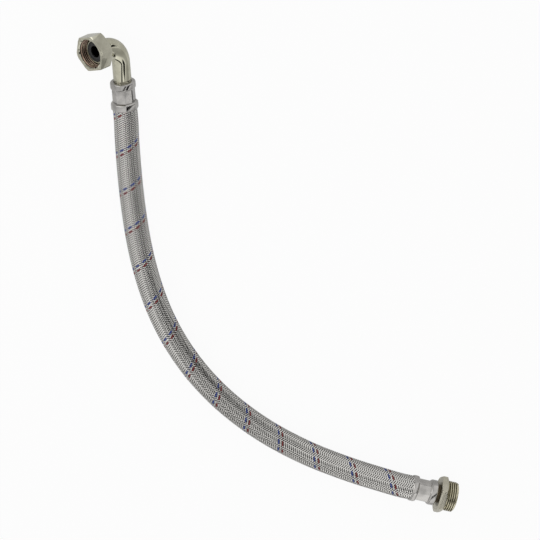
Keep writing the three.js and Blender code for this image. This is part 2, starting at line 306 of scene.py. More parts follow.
def strand_points(hand, turn):
    """Rings of points of one strand. hand is 1 for a right-handed helix and -1 for a left."""
    first = hand * 2 * np.pi * -WEAVE_REACH / LEAD + turn
    last = hand * 2 * np.pi * (FREE_LENGTH + WEAVE_REACH) / LEAD + turn
    step = 2 * np.pi / STEPS_ROUND
    angle = np.arange(min(first, last), max(first, last), step)
    distance = (angle - turn) * LEAD / (2 * np.pi * hand)
    centre, along, upward, across = hose_places(distance)
    spoke = upward * np.cos(angle)[:, None] + across * np.sin(angle)[:, None]
    round_about = across * np.cos(angle)[:, None] - upward * np.sin(angle)[:, None]
    wave = np.cos(FLOATS_ROUND * angle - COLUMN_TURN)
    height = hand * WEAVE_HEIGHT * np.tanh(WEAVE_FLATNESS * wave) / np.tanh(WEAVE_FLATNESS)
    slope = LEAD / (2 * np.pi * MIDDLE_RADIUS)
    forward = round_about + along * slope * hand
    forward /= np.linalg.norm(forward, axis=1, keepdims=True)
    sideways = np.cross(forward, spoke)
    middle = centre + spoke * (MIDDLE_RADIUS + height)[:, None]
    return (
        middle[:, None]
        + sideways[:, None] * strand_section[None, :, :1]
        + spoke[:, None] * strand_section[None, :, 1:]
    )


def braid_piece(name, hand, turns):
    """One mesh of several strands that wind the same way."""
    points, faces, coordinates = [], [], []
    sides = len(strand_section)
    for turn in turns:
        rings = strand_points(hand, turn)
        start = sum(len(block) for block in points) * sides
        step_length = np.hypot(LEAD, 2 * np.pi * MIDDLE_RADIUS) / STEPS_ROUND
        lengths = np.arange(len(rings)) * step_length / STRAND_WIDTH
        strand_faces = band_faces(len(rings), sides, True)
        faces.extend(tuple(corner + start for corner in face) for face in strand_faces)
        points.append(rings)
        coordinates.append(
            np.stack(np.broadcast_arrays(section_coordinate[None, :], lengths[:, None]), axis=-1)
        )
    piece = new_mesh_piece(name, np.concatenate(points), faces)
    place = np.concatenate(coordinates).reshape(-1, 2)
    corners = np.empty(len(piece.data.loops), int)
    piece.data.loops.foreach_get("vertex_index", corners)
    strand_map = piece.data.uv_layers.new(name="strand")
    strand_map.data.foreach_set("uv", place[corners].astype(np.float32).ravel())
    start_edit(piece)
    face_outwards()
    bpy.ops.object.shade_smooth_by_angle(angle=SHARP_EDGE)
    return piece


# %% [markdown]
# One strand is blue and one is red. They wind the same way, and one plain strand lies between
# them. They are pieces of their own, so that their colour is a material and not a painted map.

# %% Braid
RED_AFTER_BLUE = 2
strand_pitch = 2 * math.pi / STRANDS_EACH_WAY
right_turns = [blue_turn - strand_pitch * place for place in range(STRANDS_EACH_WAY)]
left_turns = [-blue_turn + strand_pitch * place for place in range(STRANDS_EACH_WAY)]
coloured = (0, RED_AFTER_BLUE)
plain_turns = [turn for place, turn in enumerate(right_turns) if place not in coloured]
braid_right = braid_piece("braid_right_handed", 1, plain_turns)
braid_left = braid_piece("braid_left_handed", -1, left_turns)
blue_strand = braid_piece("blue_strand", 1, [right_turns[0]])
red_strand = braid_piece("red_strand", 1, [right_turns[RED_AFTER_BLUE]])
for piece in (braid_right, braid_left, blue_strand, red_strand):
    print(piece.name, len(piece.data.polygons), "faces")


# %% [markdown]
# ## Turned pieces
# Most of the metal is turned on a lathe. To model such a piece by hand, one adds a circle,
# extrudes it along the axis and scales the new ring, again and again, and at last bridges the
# last ring to the first. The helpers below do this from an outline of radius and height. The
# pieces are made round the upright axis, and a placing helper then lays them along their real
# axis and applies the place, so that each object's own origin stays at zero.

# %% Turning and placing
BEVEL_ANGLE = math.radians(28)
SHADE_MARGIN = math.radians(6)


def new_circle(name, sides, radius, height=0):
    """A circle of points about the upright axis, the start of a piece."""
    bpy.ops.mesh.primitive_circle_add(vertices=sides, radius=radius, location=(0, 0, height))
    piece = bpy.context.active_object
    piece.name = name
    return piece


def close_skin(closer, **settings):
    """Closes the open edges with one operator, faces outwards and leaves edit mode."""
    bpy.ops.mesh.select_all(action="DESELECT")
    bpy.ops.mesh.select_non_manifold()
    closer(**settings)
    face_outwards()


def extrude_ring(radius, height, next_radius, next_height):
    """Extrudes the selected ring to a new height and radius on the upright axis."""
    rise = (0, 0, next_height - height)
    bpy.ops.mesh.extrude_region_move(TRANSFORM_OT_translate={"value": rise})
    scale = next_radius / radius
    bpy.ops.transform.resize(value=(scale, scale, 1), center_override=(0, 0, next_height))


def extrude_along(extrude, start, outline):
    """Extrudes the selected ring from start through each point of an outline."""
    for here, there in zip([start, *outline], outline):
        extrude(*here, *there)


def turned(name, outline, sides, solid=False):
    """A closed turned piece from points of radius and height, hollow or with capped ends."""
    radius, height = outline[0]
    piece = new_circle(name, sides, radius, height)
    start_edit(piece)
    extrude_along(extrude_ring, outline[0], outline[1:])
    if solid:
        close_skin(bpy.ops.mesh.fill_holes, sides=0)
    else:
        close_skin(bpy.ops.mesh.bridge_edge_loops)
    settle(piece)
    return piece


def settle(piece):
    """Applies the object's place, turn and scale to its mesh."""
    select_only(piece)
    bpy.ops.object.transform_apply(location=True, rotation=True, scale=True)


def lay(piece, origin, axis, first_side):
    """Turns the upright axis to axis and local Y to first_side, and moves zero to origin."""
    side = Vector(first_side).normalized()
    axis = Vector(axis).normalized()
    turn = Matrix((side.cross(axis), side, axis)).transposed().to_4x4()
    piece.matrix_world = Matrix.Translation(origin) @ turn
    settle(piece)
    return piece


def apply_modifier(piece, kind, **settings):
    """Adds one modifier with its settings and applies it."""
    select_only(piece)
    modifier = piece.modifiers.new(kind.lower(), kind)
    for name, value in settings.items():
        setattr(modifier, name, value)
    bpy.ops.object.modifier_apply(modifier=modifier.name)


def soften(piece, width, angle=BEVEL_ANGLE, segments=2):
    """Rounds the sharp edges and shades the rest smooth."""
    apply_modifier(
        piece,
        "BEVEL",
        width=width,
        segments=segments,
        limit_method="ANGLE",
        angle_limit=angle,
    )
    bpy.ops.object.shade_smooth_by_angle(angle=angle + SHADE_MARGIN)


def cut(piece, cutter, operation):
    """Joins, cuts or keeps what both share, and throws the cutter away."""
    apply_modifier(piece, "BOOLEAN", object=cutter, operation=operation, solver="EXACT")
    bpy.data.objects.remove(cutter)


# %% [markdown]
# ## Ferrules
# A ferrule is a short steel cup that a press has squeezed round the hose. Eight jaws leave eight
# flats with thin ridges between them. A bead stays at each end where the jaws did not reach. The
# bead at the hose's side bulges a little between the jaws. The cup is turned round first, the
# pressed band is then moved in, vertex by vertex, and the wall gets its thickness last.

# %% Ferrule sizes
FERRULE_SIDES = 160
FERRULE_WALL = 0.9 * MM
CRIMP_FLAT = 11.7 * MM
JAWS = 8
MOUTH_BEAD = 14.8 * MM
MOUTH_SWELL = 0.7 * MM
END_BEAD = 14.1 * MM
END_BEAD_LENGTH = 6.2 * MM
BEAD_EDGE = 1.7 * MM
LIP_HOLE = 10.3 * MM
JAW_RIDGE = 0.12 * MM
JAW_RIDGE_SPREAD = 0.05
LIP_ROUNDING = 0.9
FERRULE_SHARP_EDGE = math.radians(40)
EDGE_STEPS = (0.08, 0.3, 0.6, 1)
ELBOW_CRIMP = 15 * MM
MALE_CRIMP = 13.6 * MM
SLOPE_STEPS = (0, 0.3, 0.5, 0.7, 0.85, 0.95, 1)


def crimp_places(bead_length, crimp_length):
    """Depths where the flats start and end and where the ferrule ends, from its mouth."""
    crimp_start = bead_length + CRIMP_RUN
    crimp_end = crimp_start + crimp_length
    return crimp_start, crimp_end, crimp_end + CRIMP_RUN + END_BEAD_LENGTH


def pressed_share(depth, places):
    """How far the wall is pressed in at a depth: 0 on the beads, 1 on the flats."""
    crimp_start, crimp_end, _ = places
    outside = max(crimp_start - depth, depth - crimp_end, 0)
    on_slope = 1 - min(outside / CRIMP_RUN, 1)
    return 1 - math.sqrt(1 - on_slope**2)


def ferrule_radius(depth, angle, places):
    """Outside radius of the ferrule at a depth and at an angle counted from a ridge."""
    crimp_start, crimp_end, lip = places
    off_flat = (angle % (2 * math.pi / JAWS)) - math.pi / JAWS
    near_ridge = math.exp(-((math.pi / JAWS - abs(off_flat)) / JAW_RIDGE_SPREAD) ** 2)
    pressed = CRIMP_FLAT / math.cos(off_flat) + JAW_RIDGE * near_ridge
    bulge = (1 / math.cos(off_flat) - 1) / (1 / math.cos(math.pi / JAWS) - 1)
    at_mouth = depth < (crimp_start + crimp_end) / 2
    bead = MOUTH_BEAD + MOUTH_SWELL * (bulge - 0.5) if at_mouth else END_BEAD
    edge = min(depth, lip - depth)
    if edge < BEAD_EDGE:
        bead -= BEAD_EDGE - math.sqrt(BEAD_EDGE**2 - (BEAD_EDGE - edge) ** 2)
    return bead + (pressed - bead) * pressed_share(depth, places)


def ferrule(name, places):
    """The pressed cup about the upright axis, from its mouth at 0 to its lip."""
    crimp_start, crimp_end, lip = places
    edges = [BEAD_EDGE * share for share in EDGE_STEPS]
    slopes = [crimp_start - CRIMP_RUN * (1 - step) for step in SLOPE_STEPS]
    backs = [crimp_end + CRIMP_RUN * (1 - step) for step in reversed(SLOPE_STEPS)]
    heights = [*edges, *slopes, *backs, *[lip - edge for edge in reversed(edges)]]
    piece = new_circle(name, FERRULE_SIDES, END_BEAD)
    start_edit(piece)
    wall = [(END_BEAD, height) for height in heights]
    lip_edge = END_BEAD - LIP_ROUNDING * BEAD_EDGE
    extrude_along(extrude_ring, (END_BEAD, 0), [*wall, (lip_edge, lip), (LIP_HOLE, lip)])
    face_outwards()
    for vertex in piece.data.vertices:
        depth = vertex.co.z
        if depth > heights[-1] + MERGE_DISTANCE:
            continue
        angle = math.atan2(vertex.co.x, vertex.co.y)
        radius = ferrule_radius(max(depth, edges[0]), angle, places)
        scale = radius / math.hypot(vertex.co.x, vertex.co.y)
        vertex.co.x *= scale
        vertex.co.y *= scale
    turn_outwards(piece)
    apply_modifier(piece, "SOLIDIFY", thickness=FERRULE_WALL, offset=-1, use_even_offset=False)
    bpy.ops.object.shade_smooth_by_angle(angle=FERRULE_SHARP_EDGE)
    return piece


def turn_outwards(piece):
    """An open shell's faces may all point inwards; one look at the widest face tells."""
    face = max(piece.data.polygons, key=lambda f: Vector(f.center[:2]).length)
    if Vector(face.center[:2]).dot(Vector(face.normal[:2])) < 0:
        start_edit(piece)
        bpy.ops.mesh.flip_normals()
        bpy.ops.object.mode_set(mode="OBJECT")


# %% Ferrules in place
UPWARD = Vector((0, 0, 1))
elbow_places = crimp_places(ELBOW_BEAD_LENGTH, ELBOW_CRIMP)
male_places = crimp_places(MALE_BEAD_LENGTH, MALE_CRIMP)
ferrule_elbow = ferrule("ferrule_at_elbow", elbow_places)
lay(ferrule_elbow, ELBOW_MOUTH, ELBOW_AXIS, UPWARD)
ferrule_male = ferrule("ferrule_at_thread", male_places)
lay(ferrule_male, MALE_MOUTH, MALE_AXIS, UPWARD)
print("ferrule faces:", len(ferrule_elbow.data.polygons), len(ferrule_male.data.polygons))

# %% [markdown]
# ## Bent pipe
# One nickel-plated pipe runs from inside the hose, through a tight bend, to a collar that holds
# the union nut. It is one circle, extruded up the leg, spun round the bend and extruded along the
# outlet, and then led back down the bore in the same way. The barbs grip the rubber and stay
# unseen.

# %% Bent pipe sizes
PIPE_SIDES = 96
PIPE_RADIUS = 10 * MM
PIPE_WALL = 1.5 * MM
LEG_STRAIGHT = 23 * MM
BEND_RADIUS = 24 * MM
BEND_STEPS = 28
OUTLET_TILT = math.radians(38)
OUTLET_REACH = 21.7 * MM
COLLAR_RADIUS = 13.5 * MM
COLLAR_FRONT = 11.0 * MM
COLLAR_LENGTH = 2.0 * MM
COLLAR_RIM = 1.5 * MM
COLLAR_RIM_FRONT = 9.0 * MM
COLLAR_FILLET = ((0, 1.2), (0.3, 0.35), (1.2, 0))
PIPE_EDGE = 0.25 * MM
TAIL_TIP = 2.0 * MM
TAIL_RADIUS = 8.1 * MM
TAIL_BORE = 6.33 * MM
BARB_DEPTH = 0.55 * MM
BARB_PITCH = 4.4 * MM
BARB_PEAK = 0.8
BARB_FOOT = 0.86
TAIL_CONE = 3 * MM
outlet_axis = Vector((-math.cos(OUTLET_TILT), 0, math.sin(OUTLET_TILT)))
elbow_lip = elbow_places[2]
bend_start = elbow_lip + LEG_STRAIGHT
outlet_height = bend_start + BEND_RADIUS
nut_front = ELBOW_MOUTH + ELBOW_AXIS * outlet_height + outlet_axis * (BEND_RADIUS + OUTLET_REACH)


def barbs(tail_end):
    """Outline of the barbed tail, from its tip to the depth where the stem starts."""
    root = TAIL_RADIUS - BARB_DEPTH
    outline = [(root, TAIL_TIP)]
    for place in range(int((tail_end - TAIL_TIP) / BARB_PITCH)):
        foot = TAIL_TIP + place * BARB_PITCH
        outline.append((TAIL_RADIUS, foot + BARB_PEAK * BARB_PITCH))
        outline.append((root, foot + BARB_FOOT * BARB_PITCH))
    return [*outline, (root, tail_end)]


def extrude_sideways(radius, reach, next_radius, next_reach):
    """Extrudes the selected ring along the outlet, which lies along X in the pipe's frame."""
    run = (next_reach - reach, 0, 0)
    bpy.ops.mesh.extrude_region_move(TRANSFORM_OT_translate={"value": run})
    scale = next_radius / radius
    middle = (next_reach, 0, outlet_height)
    bpy.ops.transform.resize(value=(1, scale, scale), center_override=middle)


def bent_pipe(name):
    """The pipe with its leg up the upright axis and its outlet along X."""
    bore = PIPE_RADIUS - PIPE_WALL
    spin = {"steps": BEND_STEPS, "center": (BEND_RADIUS, 0, bend_start), "axis": (0, 1, 0)}
    tail = barbs(ELBOW_HOSE_END)
    radius, height = tail[0]
    piece = new_circle(name, PIPE_SIDES, radius)
    start_edit(piece)
    bpy.ops.transform.translate(value=(0, 0, height))
    leg = [*tail[1:], (PIPE_RADIUS, ELBOW_HOSE_END), (PIPE_RADIUS, bend_start)]
    extrude_along(extrude_ring, tail[0], leg)
    bpy.ops.mesh.spin(angle=-math.pi / 2, **spin)
    collar_back = BEND_RADIUS + OUTLET_REACH - COLLAR_FRONT - COLLAR_LENGTH
    collar_face = collar_back + COLLAR_LENGTH
    rim_face = collar_face + COLLAR_FRONT - COLLAR_RIM_FRONT
    run = [
        *[(PIPE_RADIUS + out * MM, collar_back - back * MM) for out, back in COLLAR_FILLET],
        (COLLAR_RADIUS, collar_back),
        (COLLAR_RADIUS, rim_face),
        (COLLAR_RADIUS - COLLAR_RIM, rim_face),
        (COLLAR_RADIUS - COLLAR_RIM, collar_face),
        (bore, collar_face),
        (bore, BEND_RADIUS),
    ]
    extrude_along(extrude_sideways, (PIPE_RADIUS, BEND_RADIUS), run)
    bpy.ops.mesh.spin(angle=math.pi / 2, **spin)
    down = [(bore, elbow_lip), (TAIL_BORE, elbow_lip - TAIL_CONE), (TAIL_BORE, TAIL_TIP)]
    extrude_along(extrude_ring, (bore, bend_start), down)
    close_skin(bpy.ops.mesh.bridge_edge_loops)
    soften(piece, PIPE_EDGE)
    return piece


# %% Bent pipe in place
elbow = bent_pipe("bent_pipe")
pipe_side = ELBOW_AXIS.cross(outlet_axis)
lay(elbow, ELBOW_MOUTH, ELBOW_AXIS, pipe_side)
print("bent pipe:", len(elbow.data.polygons), "faces")


# %% [markdown]
# ## Threads
# A thread is one ridge wound up a helix. Its section is a small closed outline. The Screw
# modifier turns it round the axis while it climbs one pitch a turn. Where the bar's end is
# bevelled, the crest is brought down to the bevel, vertex by vertex. The faces of the flanks are
# noted, because they get a darker and duller finish than the crests.

# %% Thread helper
THREAD_PITCH = 2.31 * MM
THREAD_STEPS = 72
THREAD_FOOT = 0.49 * THREAD_PITCH
THREAD_TOP = 0.17 * THREAD_PITCH
THREAD_MERGE = 0.005 * MM
CREST_BAND = 0.1 * MM
THREAD_SUNK = 0.1 * MM
flank_faces = {}


def thread(name, root, crest, start, length):
    """A helical ridge about the upright axis, from root to crest radius."""
    section = [(root, -THREAD_FOOT), (crest, -THREAD_TOP), (crest, THREAD_TOP), (root, THREAD_FOOT)]
    piece = new_circle(name, len(section), root)
    for vertex, (radius, height) in zip(piece.data.vertices, section):
        vertex.co = (radius, 0, start + height)
    turns = int(length / THREAD_PITCH)
    apply_modifier(
        piece,
        "SCREW",
        axis="Z",
        angle=2 * math.pi,
        screw_offset=THREAD_PITCH,
        iterations=turns,
        steps=THREAD_STEPS,
        use_merge_vertices=True,
    )
    start_edit(piece)
    bpy.ops.mesh.remove_doubles(threshold=THREAD_MERGE)
    close_skin(bpy.ops.mesh.edge_face_add)
    bpy.ops.object.shade_smooth_by_angle(angle=SHARP_EDGE)
    flank_faces[name] = [
        face.index
        for face in piece.data.polygons
        if abs(math.hypot(face.center.x, face.center.y) - crest) > CREST_BAND
    ]
    return piece


def taper_thread(piece, keep_radius, top):
    """Brings each point down to top and in to keep_radius(height, radius)."""
    for vertex in piece.data.vertices:
        vertex.co.z = min(vertex.co.z, top)
        radius = math.hypot(vertex.co.x, vertex.co.y)
        allowed = keep_radius(vertex.co.z, radius)
        vertex.co.x *= allowed / radius
        vertex.co.y *= allowed / radius


# %% [markdown]
# ## Hexagonal pieces
# A nut is cut from six-sided bar. Its corners are taken off on the lathe at both ends, which
# leaves a curved edge on every flat. So a six-sided cylinder is cut with a turned one, which
# makes exactly that curve, and the bore is cut last.

# %% Hexagon helper
TURNED_SIDES = 96
OVERLAP = 0.001 * MM
HEXAGON_SHARP_EDGE = math.radians(20)


def hexagon(name, across, start, length, bevel_radius, slope):
    """Six-sided bar about the upright axis with its corners bevelled at both ends."""
    corner = across / math.sqrt(3)
    middle = (0, 0, start + length / 2)
    bpy.ops.mesh.primitive_cylinder_add(vertices=6, radius=corner, depth=length, location=middle)
    piece = bpy.context.active_object
    piece.name = name
    settle(piece)
    reach = corner + MM
    fall = (reach - bevel_radius) * math.tan(slope)
    bevel = turned(
        "bevel",
        [
            (bevel_radius, start - OVERLAP),
            (reach, start + fall),
            (reach, start + length - fall),
            (bevel_radius, start + length + OVERLAP),
        ],
        TURNED_SIDES,
        solid=True,
    )
    cut(piece, bevel, "INTERSECT")
    return piece


# %% [markdown]
# ## Union nut
# The nut turns freely on the bent pipe. Behind, its hole is only a little wider than the pipe, and
# its shoulder draws the collar up. In front it is open, with a thread inside. At the bottom shows
# the collar's bright rim round a flat black seal.

# %% Union nut
NUT_ACROSS = 38 * MM
NUT_LENGTH = 16 * MM
NUT_SHOULDER = 2.7 * MM
NUT_HOLE = 10.35 * MM
NUT_CREST = 15.15 * MM
NUT_ROOT = 16.3 * MM
NUT_MOUTH = 17 * MM
NUT_MOUTH_DEPTH = 1.2 * MM
NUT_BEVEL_RADIUS = 20.1 * MM
NUT_HOLE_FLARE = 1.5 * MM
NUT_HOLE_EDGE = 0.5 * MM
NUT_EDGE = 0.22 * MM
NUT_THREAD_START = -12.4 * MM
NUT_THREAD_LENGTH = 10.2 * MM
NUT_TURN = math.radians(16)
BEVEL_SLOPE = math.radians(30)
nut_corner = pipe_side * math.cos(NUT_TURN) + ELBOW_AXIS * math.sin(NUT_TURN)


def union_nut():
    """The nut about the upright axis, its front face at 0 and its back below."""
    nut = hexagon(
        "union_nut_body", NUT_ACROSS, -NUT_LENGTH, NUT_LENGTH, NUT_BEVEL_RADIUS, BEVEL_SLOPE
    )
    bore = turned(
        "bore",
        [
            (NUT_HOLE + NUT_HOLE_FLARE, -NUT_LENGTH - MM),
            (NUT_HOLE, -NUT_LENGTH + NUT_HOLE_EDGE),
            (NUT_HOLE, -NUT_LENGTH + NUT_SHOULDER),
            (NUT_ROOT, -NUT_LENGTH + NUT_SHOULDER),
            (NUT_ROOT, -NUT_MOUTH_DEPTH),
            (NUT_MOUTH, 0),
            (NUT_MOUTH, MM),
        ],
        TURNED_SIDES,
        solid=True,
    )
    cut(nut, bore, "DIFFERENCE")
    soften(nut, NUT_EDGE, angle=HEXAGON_SHARP_EDGE)
    return nut


nut = lay(union_nut(), nut_front, outlet_axis, nut_corner)
nut_thread = thread(
    "union_nut_thread", NUT_ROOT + THREAD_SUNK, NUT_CREST, NUT_THREAD_START, NUT_THREAD_LENGTH
)
lay(nut_thread, nut_front, outlet_axis, nut_corner)
print("union nut:", len(nut.data.polygons), "faces")

# %% [markdown]
# ## Seal
# A flat rubber ring lies in the collar's rim. Its edges are slightly rounded by its mould.

# %% Seal
SEAL_OUTSIDE = 11.7 * MM
SEAL_BORE = 6.7 * MM
SEAL_FRONT = -8.5 * MM
SEAL_BACK = -10.7 * MM
SEAL_EDGE = 0.35 * MM
SEAL_SHARP_EDGE = math.radians(40)


def seal_ring():
    """The seal about the outlet's axis."""
    outline = [
        (SEAL_BORE, SEAL_BACK),
        (SEAL_OUTSIDE, SEAL_BACK),
        (SEAL_OUTSIDE, SEAL_FRONT),
        (SEAL_BORE, SEAL_FRONT),
    ]
    ring = turned("seal_ring", outline, TURNED_SIDES)
    soften(ring, SEAL_EDGE, angle=SEAL_SHARP_EDGE, segments=3)
    return ring


seal = lay(seal_ring(), nut_front, outlet_axis, nut_corner)
print("seal:", len(seal.data.polygons), "faces")

# %% [markdown]
# ## Male fitting
# At the other end one turned piece carries the barbed tail, a neck, a six-sided flange for the
# spanner and the thread. The flange is modelled as the nut is, and the stem is turned.

# %% Male fitting sizes
FLANGE_ACROSS = 37.5 * MM
FLANGE_LENGTH = 7.2 * MM
FLANGE_BEVEL_RADIUS = 19.2 * MM
FLANGE_EDGE = 0.3 * MM
FLANGE_GRIP = 0.2 * MM
FLANGE_TURN = math.radians(30)
NECK_LENGTH = 2.4 * MM
NECK_RADIUS = 10 * MM
THREAD_LENGTH = 12.8 * MM
THREAD_CREST = 16.62 * MM
THREAD_ROOT = 15.25 * MM
THREAD_BEVEL = 1.2 * MM
THREAD_BEVEL_LENGTH = 1.6 * MM
THREAD_FLOOR = 0.4 * MM
THREAD_RELIEF = 0.2 * MM
THREAD_RELIEF_SLOPE = 1.2
THREAD_FIRST_RIDGE = 0.9 * MM
CORE_EDGE = 0.5 * MM
MALE_BORE = 11 * MM
MALE_BORE_DEPTH = 15 * MM
MALE_BORE_CONE = 4 * MM
MALE_BORE_EDGE = 0.6 * MM
STEM_EDGE = 0.2 * MM
male_lip = male_places[2]
flange_start = male_lip + NECK_LENGTH
thread_start = flange_start + FLANGE_LENGTH
male_end = thread_start + THREAD_LENGTH


def male_stem():
    """Barbed tail, neck, threaded core and bore as one turned piece."""
    outline = [
        *barbs(MALE_HOSE_END),
        (NECK_RADIUS, MALE_HOSE_END),
        (NECK_RADIUS, flange_start + FLANGE_LENGTH / 2),
        (THREAD_ROOT, flange_start + FLANGE_LENGTH / 2),
        (THREAD_ROOT, male_end - CORE_EDGE),
        (THREAD_ROOT - CORE_EDGE, male_end),
        (MALE_BORE + MALE_BORE_EDGE, male_end),
        (MALE_BORE, male_end - MALE_BORE_EDGE),
        (MALE_BORE, male_end - MALE_BORE_DEPTH),
        (TAIL_BORE, male_end - MALE_BORE_DEPTH - MALE_BORE_CONE),
        (TAIL_BORE, TAIL_TIP),
    ]
    stem = turned("male_stem", outline, TURNED_SIDES)
    soften(stem, STEM_EDGE)
    return stem


def male_flange():
    """The six-sided flange with a hole for the stem."""
    flange = hexagon(
        "male_flange", FLANGE_ACROSS, flange_start, FLANGE_LENGTH, FLANGE_BEVEL_RADIUS, BEVEL_SLOPE
    )
    hole = NECK_RADIUS - FLANGE_GRIP
    ends = [(hole, flange_start - MM), (hole, flange_start + FLANGE_LENGTH + MM)]
    bore = turned("bore", ends, TURNED_SIDES, solid=True)
    cut(flange, bore, "DIFFERENCE")
    soften(flange, FLANGE_EDGE, angle=HEXAGON_SHARP_EDGE)
    return flange


def male_keep(height, radius):
    """Allowed radius of the male thread's points at a height."""
    past_bevel = max(0.0, height - (male_end - THREAD_BEVEL_LENGTH))
    at_end = THREAD_CREST - THREAD_BEVEL * past_bevel / THREAD_BEVEL_LENGTH
    past_relief = max(0.0, height - thread_start - THREAD_RELIEF)
    at_start = THREAD_ROOT + past_relief * THREAD_RELIEF_SLOPE
    return min(radius, max(at_end, THREAD_ROOT - THREAD_FLOOR), at_start)


# %% Male fitting in place
level_side = MALE_AXIS.cross(UPWARD)
corner_side = UPWARD * math.cos(FLANGE_TURN) + level_side * math.sin(FLANGE_TURN)
stem = lay(male_stem(), MALE_MOUTH, MALE_AXIS, UPWARD)
flange = lay(male_flange(), MALE_MOUTH, MALE_AXIS, corner_side)
male_thread = thread(
    "male_thread",
    THREAD_ROOT - THREAD_SUNK,
    THREAD_CREST,
    thread_start + THREAD_FIRST_RIDGE,
    THREAD_LENGTH - THREAD_PITCH / 2,
)
taper_thread(male_thread, male_keep, male_end - THREAD_SUNK)
lay(male_thread, MALE_MOUTH, MALE_AXIS, UPWARD)
print("male fitting:", len(stem.data.polygons), len(flange.data.polygons), "faces")


# %% [markdown]
# ## Finishes
# Each finish is a small node tree. Metals get an uneven polish and fine marks from noise, in the
# object's own coordinates, so that they stay in place when the object turns.

# %% Node helpers
GRAIN_RANGE = (0.3, 0.7)


def new_finish(name, base, metallic, roughness):
    """A material with one Principled shader, returned with its node tree and the shader."""
    finish = bpy.data.materials.new(name)
    finish.use_nodes = True
    shader = finish.node_tree.nodes["Principled BSDF"]
    shader.inputs["Base Color"].default_value = (*base, 1)
    shader.inputs["Metallic"].default_value = metallic
    shader.inputs["Roughness"].default_value = roughness
    return finish, finish.node_tree, shader


def add_node(tree, kind, **settings):
    """Adds a node, with settings as its properties or as its inputs' values."""
    node = tree.nodes.new(kind)
    for name, value in settings.items():
        if hasattr(node, name):
            setattr(node, name, value)
        else:
            node.inputs[name.replace("_", " ").title()].default_value = value
    return node


def math_node(tree, operation, *sources):
    """The result of one operation on outputs of other nodes or plain numbers."""
    node = add_node(tree, "ShaderNodeMath", operation=operation)
    for socket, source in zip(node.inputs, sources):
        if isinstance(source, float):
            socket.default_value = source
        else:
            tree.links.new(source, socket)
    return node.outputs["Value"]


def noise(tree, place, scale, detail):
    """Noise, most of it between 0.3 and 0.7."""
    node = add_node(tree, "ShaderNodeTexNoise", scale=scale, detail=detail)
    tree.links.new(place, node.inputs["Vector"])
    return node.outputs["Fac"]


def colour_band(tree, factor, dark, light, stops=(0, 1)):
    """A colour that goes from dark to light with a factor."""
    ramp = add_node(tree, "ShaderNodeValToRGB")
    for element, stop, colour in zip(ramp.color_ramp.elements, stops, (dark, light)):
        element.position = stop
        element.color = (*colour, 1)
    tree.links.new(factor, ramp.inputs["Fac"])
    return ramp.outputs["Color"]


def scaled(tree, factor, low, high, source=(0, 1)):
    """A number that goes from low to high with a factor."""
    ends = {"from_min": source[0], "from_max": source[1], "to_min": low, "to_max": high}
    node = add_node(tree, "ShaderNodeMapRange", **ends)
    tree.links.new(factor, node.inputs["Value"])
    return node.outputs["Result"]


def dress(tree, shader, colour, polish, height, strength, depth):
    """Joins a colour, a polish and a relief to the shader."""
    tree.links.new(colour, shader.inputs["Base Color"])
    tree.links.new(polish, shader.inputs["Roughness"])
    relief = add_node(tree, "ShaderNodeBump", strength=strength, distance=depth)
    tree.links.new(height, relief.inputs["Height"])
    tree.links.new(relief.outputs["Normal"], shader.inputs["Normal"])


# %% [markdown]
# Plated metal has soft blotches of colour and fine marks, which change its polish a little.

# %% Plated metal
BLOTCH_SCALE = 90
BLOTCH_DETAIL = 4
BLOTCH_STOPS = (0.35, 0.6)
MARKS_DETAIL = 6
MARKS_DEPTH = 0.02 * MM


def plated_metal(name, dark, light, rough, marks_scale, marks):
    """Plated metal between two colours and between two values of roughness."""
    finish, tree, shader = new_finish(name, light, 1, rough[1])
    place = add_node(tree, "ShaderNodeTexCoord").outputs["Object"]
    blotch = noise(tree, place, BLOTCH_SCALE, BLOTCH_DETAIL)
    grain = noise(tree, place, marks_scale, MARKS_DETAIL)
    colour = colour_band(tree, blotch, dark, light, BLOTCH_STOPS)
    polish = scaled(tree, grain, rough[0], rough[1], GRAIN_RANGE)
    dress(tree, shader, colour, polish, grain, marks, MARKS_DEPTH)
    return finish


# %% [markdown]
# A strand of the braid is a bundle of fine wires side by side. Across the strand the coordinate
# goes from 0 to 1, so a wave of it makes the wires: bright crowns, and painted shade in the
# grooves between them. The strand's two edges get painted shade too, for the shade its
# neighbours cast. This keeps the strands apart when they are seen from far off.

# %% Strand finish
WIRES = 6
GROOVE_SHADE = 0.55
PATCH_SHADE = 0.8
PATCH_SCALE = 1.3
PATCH_DETAIL = 3
CROWN_STOPS = (0, 0.85)
WIRE_POLISH = (-0.06, 0.08)
WIRE_RELIEF = 0.15
WIRE_DEPTH = 0.1 * MM


def strand_finish(name, groove_shade, crown, metallic, rough, edge):
    """Parallel wires with painted shade in grooves and at edges, and a little variation along."""
    finish, tree, shader = new_finish(name, crown, metallic, rough)
    place = add_node(tree, "ShaderNodeUVMap", uv_map="strand").outputs["UV"]
    split = add_node(tree, "ShaderNodeSeparateXYZ")
    tree.links.new(place, split.inputs["Vector"])
    across = split.outputs["X"]
    wave = math_node(tree, "SINE", math_node(tree, "MULTIPLY", across, WIRES * math.pi))
    wire = math_node(tree, "ABSOLUTE", wave)
    # Towards the strand's edges the colour falls to the groove colour: painted shade.
    from_edge = math_node(tree, "PINGPONG", across, 0.5)
    inner = scaled(tree, from_edge, 0, 1, edge)
    patch = noise(tree, place, PATCH_SCALE, PATCH_DETAIL)
    uneven = scaled(tree, patch, PATCH_SHADE, 1, GRAIN_RANGE)
    # Painted shade in the grooves between the wires.
    wire_shade = scaled(tree, wire, GROOVE_SHADE, 1)
    lit = math_node(tree, "MULTIPLY", wire_shade, uneven)
    shown = math_node(tree, "MULTIPLY", lit, inner)
    colour = colour_band(tree, shown, groove_shade, crown, CROWN_STOPS)
    polish = scaled(tree, patch, rough + WIRE_POLISH[0], rough + WIRE_POLISH[1], GRAIN_RANGE)
    dress(tree, shader, colour, polish, wire, WIRE_RELIEF, WIRE_DEPTH)
    return finish


